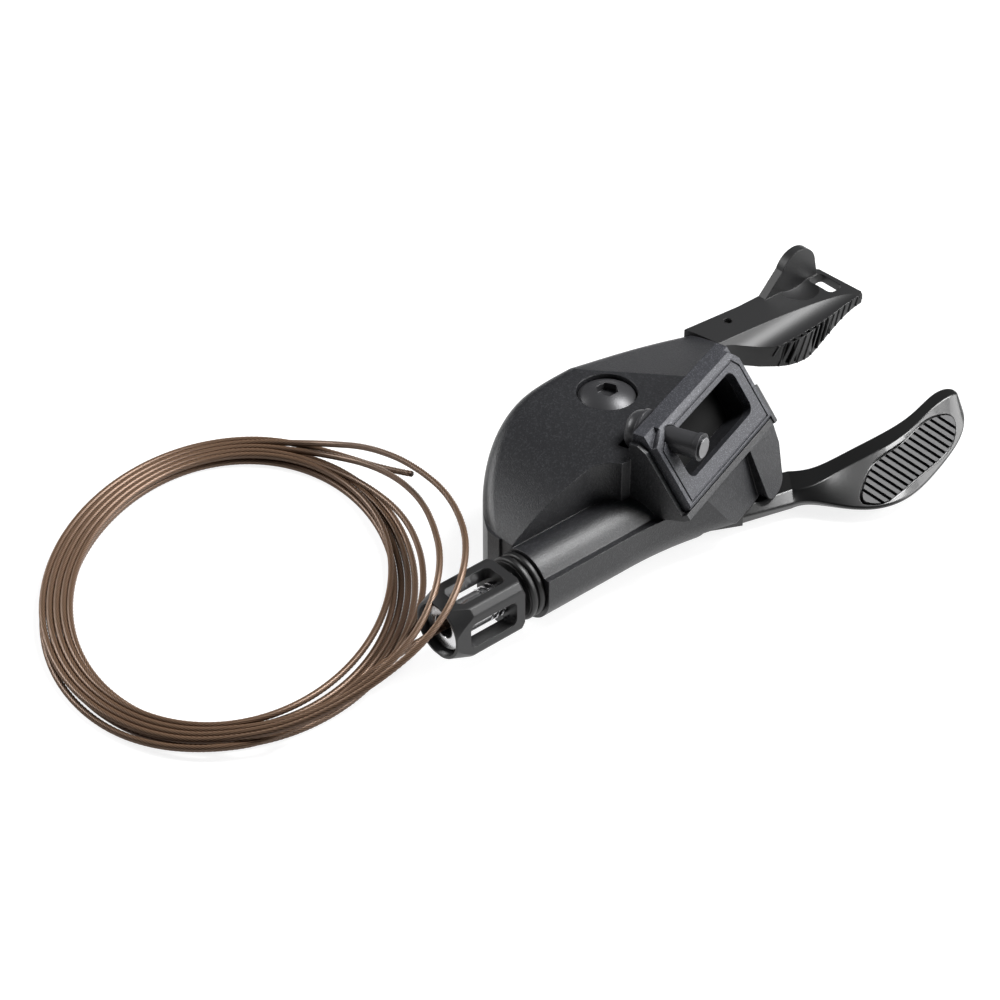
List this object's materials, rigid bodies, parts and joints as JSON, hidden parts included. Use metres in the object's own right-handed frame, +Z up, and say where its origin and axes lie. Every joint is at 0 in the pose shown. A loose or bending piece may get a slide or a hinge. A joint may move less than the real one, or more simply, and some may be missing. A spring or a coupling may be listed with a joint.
{
  "type": "trigger gear shifter",
  "caption": "Bicycle trigger gear shifter: moulded body with slanted bracket window, thumb lever, two-way release lever, barrel adjuster and its coiled gear cable.",
  "frame": {"origin": "foot of the main axle on the plane the underside lid rests on", "axes": "+Z up along the main axle; +X along the cable line from the barrel adjuster towards the levers; +Y away from the rider"},
  "size_m": [0.1668, 0.0982, 0.0286],
  "materials": {
    "body_resin": "fine matt texture",
    "lid_resin": "matt",
    "cast_alloy": "speckled satin",
    "black_steel": "satin black oxide",
    "bare_steel": "brushed",
    "lever_gloss": "gloss",
    "pad_rubber": "matt ribbed",
    "satin_resin": "satin",
    "bright_alloy": "bright turned",
    "boot_rubber": "glossy",
    "spring_steel": "drawn",
    "bush_bronze": "turned",
    "cable_coated": "coated strand"
  },
  "bodies": {
    "body": {"upper_cover": "body_resin", "lower_cover": "lid_resin", "cover_screws": "black_steel", "cover_bolt": "black_steel", "bracket": "cast_alloy", "clamp_bolt": "black_steel", "clamp_stop_ring": "black_steel", "clamp_washer": "black_steel", "cable_hole_cap": "satin_resin", "main_axle": "bare_steel", "lever_bush": "bush_bronze", "axle_nut": "bare_steel", "base_plate": "bare_steel", "reel_spring": "spring_steel", "position_pawl_pin": "bare_steel", "position_pawl_spring": "spring_steel", "main_lever_spring": "spring_steel", "release_spring": "spring_steel", "adjuster_sleeve": "bare_steel", "adjuster_boot": "boot_rubber", "cable_inner_run": "cable_coated", "cable_lead": "cable_coated", "cable_coil": "cable_coated", "cable_loose_turns": "cable_coated"},
    "main_lever": {"main_lever": "lever_gloss", "main_lever_pad": "pad_rubber", "main_lever_plate": "bare_steel", "lever_rivets": "bare_steel", "feed_pawl_pin": "bare_steel", "feed_pawl_spring": "spring_steel"},
    "feed_pawl": {"feed_pawl": "bare_steel"},
    "position_pawl": {"position_pawl": "bare_steel"},
    "reel": {"reel": "satin_resin", "drive_ratchet": "bare_steel", "position_ratchet": "bare_steel", "cable_head": "bare_steel"},
    "release_lever": {"release_lever": "satin_resin", "release_arm": "bare_steel", "release_pin": "bare_steel"},
    "adjuster_click": {"adjuster_click_ring": "satin_resin"},
    "adjuster": {"adjuster_knob": "satin_resin", "adjuster_barrel": "bright_alloy"}
  },
  "joints": [
    {"name": "main_lever_swing", "type": "hinge", "parent": "body", "child": "main_lever", "pos_m": [0, 0, 0], "axis": [0, 0, 1], "range_deg": [0, 38], "stiffness_Nm_per_rad": 0.06, "springref_deg": -17.19},
    {"name": "feed_pawl_swing", "type": "hinge", "parent": "main_lever", "child": "feed_pawl", "pos_m": [0.01611, -0.00402, 0], "axis": [0, 0, 1], "range_deg": [-10, 0], "stiffness_Nm_per_rad": 0.002, "springref_deg": 11.46},
    {"name": "position_pawl_swing", "type": "hinge", "parent": "body", "child": "position_pawl", "pos_m": [0.01448, 0.0077, 0], "axis": [0, 0, 1], "range_deg": [0, 10], "stiffness_Nm_per_rad": 0.002, "springref_deg": -11.46},
    {"name": "reel_turn", "type": "hinge", "parent": "body", "child": "reel", "pos_m": [0, 0, 0], "axis": [0, 0, 1], "range_deg": [0, 160], "stiffness_Nm_per_rad": 0.01, "springref_deg": -28.65},
    {"name": "release_lever_swing", "type": "hinge", "parent": "body", "child": "release_lever", "pos_m": [0.008, 0.005, 0], "axis": [0, 0, 1], "range_deg": [-8, 8], "stiffness_Nm_per_rad": 0.05},
    {"name": "adjuster_slide", "type": "slide", "parent": "body", "child": "adjuster_click", "axis": [-1, 0, 0], "range_m": [-0.0004, 0.0016]},
    {"name": "adjuster_turn", "type": "hinge", "parent": "adjuster_click", "child": "adjuster", "pos_m": [-0.04, -0.012, 0.00865], "axis": [-1, 0, 0], "range_deg": [-190, 730]}
  ],
  "couplings": [
    {"joint": "adjuster_turn", "follows": "adjuster_slide", "rad_per_m": 7854}
  ]
}
